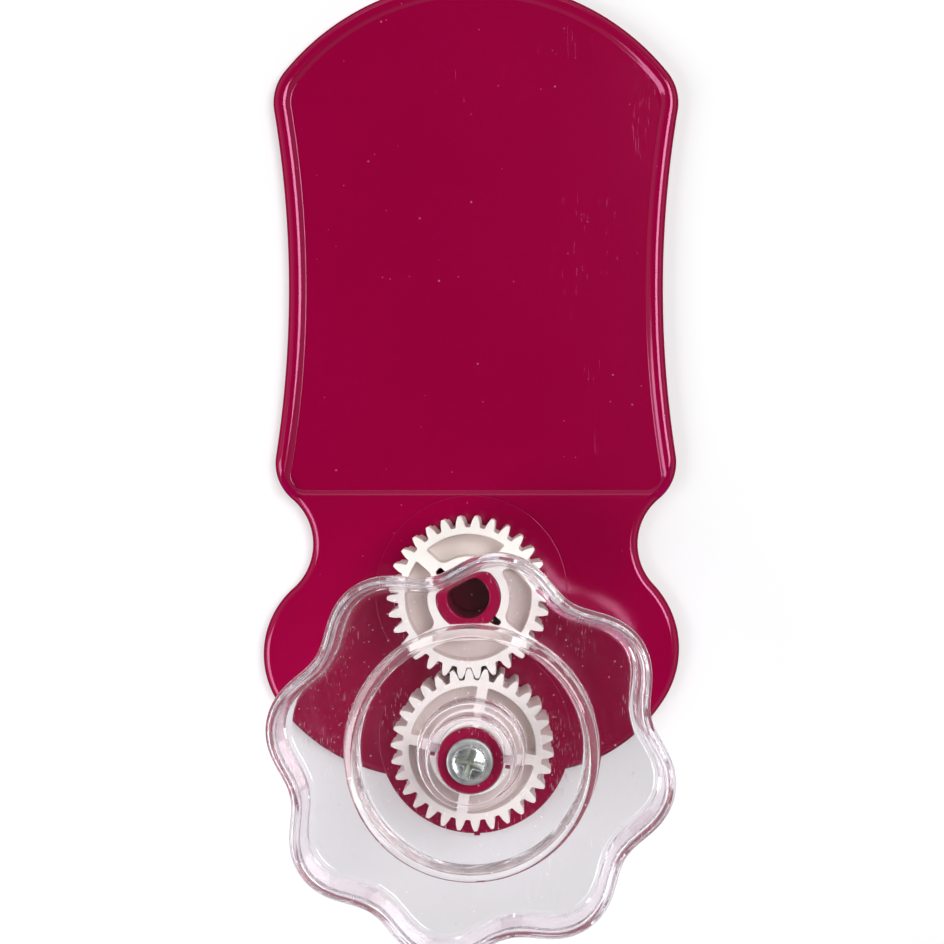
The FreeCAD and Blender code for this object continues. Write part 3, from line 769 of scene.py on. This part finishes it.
def gear(tip, root, z0, z1, phase, spoke, at, front, back, c_in, c_out):
    s = Shell()
    p, n = gear_outline(tip, root, phase)
    b = 0.10
    low, high = quarter(-b, z0, 0, z0 + b, 3, "flat"), quarter(0, z1 - b, -b, z1, 3, "wall")
    o = s.stack(p, n, low + high)
    q = keyed_bore(spoke)
    m = normals_of(q)
    low2, high2 = [(-d, z) for d, z in low], [(-d, z) for d, z in high]
    k = s.stack(q, m, low2 + high2)
    tops, bottoms = [], []
    for turn in (0, 90, 180, 270):
        w = rot(pocket(6.73, 10.42, front, c_in, c_out), spoke + turn)
        wn = normals_of(w)
        zf = z1 - 4.5
        r = s.stack(w, wn, [(-d, z) for d, z in reversed(high)] + [(-0.08, zf + 0.22), (-0.14, zf + 0.08), (-0.26, zf)])
        s.fill([r[-1]])
        tops.append(r[0])
        w = rot(pocket(6.73, 10.42, back, 0.3, 0.3), spoke + turn)
        wn = normals_of(w)
        r = s.stack(w, wn, [(-d, z) for d, z in low] + [(-0.02, z0 + 1.1), (-0.12, z0 + 1.2)])
        s.fill([r[-1]])
        bottoms.append(r[0])
    s.fill([o[-1], k[-1]] + tops)
    s.fill([o[0], k[0]] + bottoms)
    return s.mesh("gear", at)


# ------------------------------------------------------------------ knob
def knob():
    n = 64 * LOBES
    t = np.arange(n) * 2 * math.pi / n
    a = t + math.radians(90.0 + KNOB_TURN)
    u = LOBES * t
    r = WAVE_A + WAVE_B * np.cos(u) + WAVE_C * np.cos(2 * u)
    dr = -LOBES * (WAVE_B * np.sin(u) + 2 * WAVE_C * np.sin(2 * u))
    rad = np.column_stack([np.cos(a), np.sin(a)])
    tan = np.column_stack([dr * rad[:, 0] - r * rad[:, 1], dr * rad[:, 1] + r * rad[:, 0]])
    tan /= np.linalg.norm(tan, axis=1, keepdims=True)
    wave, wn = rad * r[:, None], np.column_stack([tan[:, 1], -tan[:, 0]])
    s = Shell()
    # from the foot's edge, under the disc, up the outer wall, over the rim, and in across the top to the bore
    under = [("c", 8.0, 18.73), ("c", 8.0, 18.90), ("c", 8.06, 18.95)]
    outer = [("w", d, z) for d, z in quarter(-2.75, 18.95, -1.06, 20.45, 9, "flat")] + [("w", -0.60, 24.0)]
    rim = [("w", -0.96 + 0.90 * math.cos(x), 27.33 + 0.87 * math.sin(x)) for x in np.linspace(0, math.pi, 15)]
    inner = [("w", -2.28, 23.6)] + [("w", d, z) for d, z in quarter(-2.62, 21.75, -3.55, 20.80, 8, "wall")]
    # the ring rib: its top falls gently outwards between two small roundings
    rib = [("c", rr, z) for rr, z in quarter(21.04, 20.80, 20.74, 21.10, 4, "flat")]
    rib += [("c", 20.62, 23.6)]
    for cr, cz, rad_top, t0, t1, k in ((20.137, 25.448, 0.3, 88, 36, 6), (18.1214, 22.3453, 4.0, 33, 18, 7), (19.2648, 25.8642, 0.3, 12, -88, 8)):
        rib += [("c", cr + rad_top * math.sin(math.radians(x)), cz + rad_top * math.cos(math.radians(x))) for x in np.linspace(t0, t1, k)]
    rib += [("c", 18.72, 23.8)]
    rib += [("c", rr, z) for rr, z in quarter(18.42, 21.20, 18.06, 20.80, 4, "wall")]
    hub = [("c", rr, z) for rr, z in quarter(9.15, 20.80, 8.74, 21.2, 4, "flat")]
    hub += [("c", 8.70, 24.0)]
    hub += [("c", rr, z) for rr, z in quarter(8.66, 26.35, 8.21, 26.80, 5, "wall")]
    hub += [("c", rr, z) for rr, z in quarter(7.40, 26.80, 7.10, 27.10, 4, "flat")]
    hub += [("c", 7.06, 29.6)]
    hub += [("c", rr, z) for rr, z in quarter(7.04, 31.40, 6.64, 31.80, 5, "wall")]
    hub += [("c", 6.48, 31.80), ("c", 6.0, 31.80), ("c", 3.5, 31.80), ("c", 3.0, 31.80), ("c", 2.86, 31.80), ("c", 2.74, 31.74), ("c", 2.70, 31.62)]
    hub += [("c", 2.70, 30.75), ("c", 2.80, 30.62), ("c", 2.95, 30.60), ("c", 3.10, 30.60), ("c", 3.6, 30.60), ("c", 4.7, 30.60), ("c", 5.05, 30.60)]
    hub += [("c", 5.16, 30.60), ("c", 5.32, 30.53), ("c", BORE_R, 30.3), ("c", BORE_R, 24.0), ("c", BORE_R, 18.73)]
    rings = []
    for kind, d, z in under + outer + rim + inner + rib + hub:
        rings.append(s.ring(wave + wn * d if kind == "w" else rad * d, z))
    for x, y in zip(rings, rings[1:]):
        s.bridge(x, y)
    # the foot's underside, and the two key tabs that hang from it with a sunk seam
    foot = [s.ring(rad * rr, z) for rr, z in ((7.96, 18.65), (7.86, 18.62))]
    s.bridge(rings[0], foot[0])
    s.bridge(foot[0], foot[1])
    lip = [s.ring(rad * rr, z) for rr, z in ((BORE_R + 0.02, 18.66), (BORE_R + 0.06, 18.62))]
    s.bridge(rings[-1], lip[0])
    s.bridge(lip[0], lip[1])
    s.fill([foot[1], lip[1]])
    for side in (1, -1):
        q = np.array([[5.46, -0.6], [6.68, -0.6], [6.68, 0.6], [5.46, 0.6]])
        q = rot(q, DRIVE_SPOKE + 90 * side)
        m = normals_of(q) * math.sqrt(2)
        w = s.stack(q, m, [(0, 18.57), (-0.02, 6.0), (-0.12, 5.3)])
        s.fill([w[-1]])
        s.fill([w[0]])
    return finish_piece(s.mesh("knob_clear", DRIVE), "clear_knob", "drive", "knob", CLEAR, 38.0)


# ------------------------------------------------------------------ screw and washer
def washer():
    z = 31.9
    prof = [(1.62, z + 0.04), (1.66, z), (3.55, z), (3.64, z + 0.05), (3.67, z + 0.14), (3.67, z + 0.42), (3.62, z + 0.52), (3.50, z + 0.58), (3.2, z + 0.60), (1.68, z + 0.60), (1.62, z + 0.55)]
    return finish_piece(tube_lathe(prof, 160).mesh("w", DRIVE), "washer_disc", "base", "screw_washer", ZINC_RING, 40.0)


def screw():
    z = 32.5
    prof = [(0, 19.0), (0.45, 19.15), (1.42, 20.1)]
    zz = 20.1
    while zz < 31.0:
        prof += [(1.18, zz + 0.30), (1.24, zz + 0.42), (1.44, zz + 0.72), (1.44, zz + 0.80), (1.24, zz + 1.04)]
        zz += 1.06
    prof += [(1.3, 31.7), (1.3, z), (2.62, z), (2.74, z + 0.06), (2.79, z + 0.18), (2.79, z + 0.80)]
    crown = 9.0
    drop = crown - math.sqrt(crown ** 2 - 2.30 ** 2)
    prof += [(r, h) for r, h in quarter(2.79, z + 0.80, 2.36, z + 1.94 - drop, 9, "wall")[1:]]
    for i in range(9):
        r = 2.30 * (1 - i / 9.0)
        prof.append((r, z + 1.98 - (crown - math.sqrt(crown ** 2 - r * r))))
    prof.append((0, z + 1.98))
    body = lathe(prof, 128).mesh("s", DRIVE)
    s = Shell()

    def cross(l, w, r):
        """Four arms of reach l and half-width w, the inner corners rounded off by r."""
        out = []
        for q in range(4):
            arm = [(l, -w + 0.12), (l, w - 0.12), (l - 0.12, w), (w + r, w), (w + 0.3 * r, w + 0.3 * r), (w, w + r), (w, l - 0.12)]
            out.append(rot(np.array(arm), 90 * q))
        return np.concatenate(out)

    turn = 90 - 16.5
    levels = [(0.50, 0.17, 0.08, 0.40), (0.85, 0.30, 0.12, 0.62), (2.16, 0.50, 0.28, 1.50)]
    r = [s.ring(rot(cross(l, w, c), turn), z + h) for l, w, c, h in levels]
    # a narrow bevel that follows the crown
    for l, w, c, h in ((2.22, 0.52, 0.30, -0.15), (2.38, 0.68, 0.38, 0.02)):
        q = cross(l, w, c)
        r.append(s.ring(rot(q, turn), z + 1.98 - crown + np.sqrt(crown ** 2 - (q ** 2).sum(axis=1)) + h))
    r.append(s.ring(rot(cross(2.42, 0.72, 0.40), turn), z + 2.10))
    for lo, hi in zip(r, r[1:]):
        s.bridge(lo, hi)
    s.fill([r[0]])
    s.fill([r[-1]])
    me = combine(body, [s.mesh("x", DRIVE)], "DIFFERENCE")
    ob = finish_piece(me, "cross_recess_screw", "base", "retaining_screw", ZINC, 24.0, clean=0.002)
    return ob


# ------------------------------------------------------------------ build
base_plate()
for name, body, tip, root, z0, z1, ph, sp, at, fr, bk, ci, co in (
    ("drive_gear_lower", "drive", 13.05, 11.62, 4.55, 11.55, DRIVE_TOOTH, DRIVE_SPOKE, DRIVE, 1.72, 2.3, 0.25, 0.25),
    ("drive_gear_upper", "drive", 13.36, 11.50, 11.60, 18.60, DRIVE_TOOTH, DRIVE_SPOKE, DRIVE, 1.72, 2.3, 0.25, 0.25),
    ("idler_gear_lower", "fine_idler", 13.05, 11.62, 4.55, 11.55, IDLER_TOOTH, IDLER_SPOKE, IDLER, 2.3, 1.72, 1.5, 0.35),
    ("idler_gear_upper", "coarse_idler", 13.36, 11.50, 11.60, 18.60, IDLER_TOOTH, IDLER_SPOKE, IDLER, 2.3, 1.72, 1.5, 0.35),
):
    nodes = {"drive_gear_lower": "fine_drive_gear", "drive_gear_upper": "coarse_drive_gear", "idler_gear_lower": "fine_idler_gear", "idler_gear_upper": "coarse_idler_gear"}
    finish_piece(gear(tip, root, z0, z1, ph, sp, at, fr, bk, ci, co), name, body, nodes[name], WHITE, 34.0)
KNOB = knob()
washer()
screw()

# ------------------------------------------------------------------ floor, light and camera
fm, nt, out = new_mat("floor_white")
p = nt.nodes.new("ShaderNodeBsdfPrincipled")
grain = noise(nt, coords(nt), 6.0, 2.0)
nt.links.new(ramp(nt, grain, [(0.3, (0.60, 0.60, 0.60)), (0.7, (0.62, 0.62, 0.62))]), p.inputs["Base Color"])
p.inputs["Roughness"].default_value = 0.9
p.inputs["Specular IOR Level"].default_value = 0.1
p.inputs["Emission Color"].default_value = (1, 1, 1, 1)
p.inputs["Emission Strength"].default_value = 0.41
nt.links.new(p.outputs[0], out.inputs["Surface"])
bm = bmesh.new()
bmesh.ops.create_grid(bm, x_segments=8, y_segments=8, size=1.5)
me = bpy.data.meshes.new("floor")
bm.to_mesh(me)
bm.free()
floor = obj_from(me)
floor.location = (0, 0, -0.0003)
me.materials.append(fm)
floor.visible_glossy = False


def softbox(name, azimuth, zenith, dist, size_x, size_y, power, colour=(1, 1, 1)):
    """Area light aimed at the object's middle. azimuth from +X towards +Y, zenith from straight up, degrees."""
    d = bpy.data.lights.new(name, "AREA")
    d.shape, d.size, d.size_y = "RECTANGLE", size_x, size_y
    d.energy, d.color = power, colour
    o = bpy.data.objects.new(name, d)
    a, e = math.radians(azimuth), math.radians(zenith)
    v = Vector((math.cos(a) * math.sin(e), math.sin(a) * math.sin(e), math.cos(e)))
    o.location = v * dist
    o.rotation_euler = v.to_track_quat("Z", "Y").to_euler()
    scene.collection.objects.link(o)
    return o


softbox("box_right", 24, 28, 0.75, 0.33, 0.33, 3.10)
softbox("box_low_left", 197, 54, 0.70, 0.41, 0.41, 2.95, (0.97, 0.97, 1.0))
# a long bright strip on the left that only gleams on the clear knob
strip = softbox("strip_left", 183, 52, 0.70, 1.25, 0.30, 5.5, (0.98, 1.0, 1.0))
strip.visible_diffuse = strip.visible_transmission = False
gleam = bpy.data.collections.new("gleam")
gleam.objects.link(KNOB)
strip.light_linking.receiver_collection = gleam
softbox("box_top", 95, 52, 0.80, 0.55, 0.28, 0.39, (0.97, 0.97, 1.0))

w = bpy.data.worlds.new("studio")
scene.world = w
w.use_nodes = True
nt = w.node_tree
nt.nodes.clear()
out = nt.nodes.new("ShaderNodeOutputWorld")
bg = nt.nodes.new("ShaderNodeBackground")
tc = nt.nodes.new("ShaderNodeTexCoord")
sep = nt.nodes.new("ShaderNodeSeparateXYZ")
nt.links.new(tc.outputs["Generated"], sep.inputs[0])
height = math_node(nt, "MULTIPLY_ADD", sep.outputs["Z"], 0.5, 0.5)
sky = ramp(nt, height, [(0.0, (0.03, 0.03, 0.03)), (0.46, (0.04, 0.04, 0.04)), (0.495, (0.85, 0.84, 0.85)), (0.54, (0.85, 0.84, 0.85)), (0.60, (0.50, 0.49, 0.51)), (0.75, (0.40, 0.39, 0.41)), (0.90, (0.07, 0.07, 0.07)), (1.0, (0.02, 0.02, 0.02))])
# a faint pale ceiling patch low and left of straight up
dot = nt.nodes.new("ShaderNodeVectorMath")
dot.operation = "DOT_PRODUCT"
nt.links.new(tc.outputs["Generated"], dot.inputs[0])
lean, side = math.radians(17), math.radians(233)
dot.inputs[1].default_value = (math.cos(side) * math.sin(lean), math.sin(side) * math.sin(lean), math.cos(lean))
patch = ramp(nt, dot.outputs["Value"], [(math.cos(math.radians(13.5)), (0, 0, 0)), (math.cos(math.radians(5)), (0.055, 0.051, 0.057))])
sky = mix_colour(nt, 1.0, sky, patch, "ADD")
nt.links.new(sky, bg.inputs["Color"])
bg.inputs["Strength"].default_value = 0.85
nt.links.new(bg.outputs[0], out.inputs["Surface"])

scene.view_settings.view_transform = "Standard"
# light goes round inside the clear rim many times before it leaves
scene.cycles.max_bounces = 24
scene.cycles.glossy_bounces = 16
scene.cycles.transmission_bounces = 24
scene.cycles.diffuse_bounces = 8
scene.cycles.transparent_max_bounces = 16

cam = bpy.data.cameras.new("camera")
cam.sensor_width = 36.0
cam.lens = 74.275
cam.shift_x, cam.shift_y = -59.0 / 944.0, -4.0 / 944.0
cam.clip_start, cam.clip_end = 0.01, 20.0
co = bpy.data.objects.new("camera", cam)
co.location = ((DRIVE[0] + 9.623) * MM, (DRIVE[1] + 46.216) * MM, (3.4 + 335.0) * MM)
co.rotation_euler = (0, 0, 0)
scene.collection.objects.link(co)
scene.camera = co
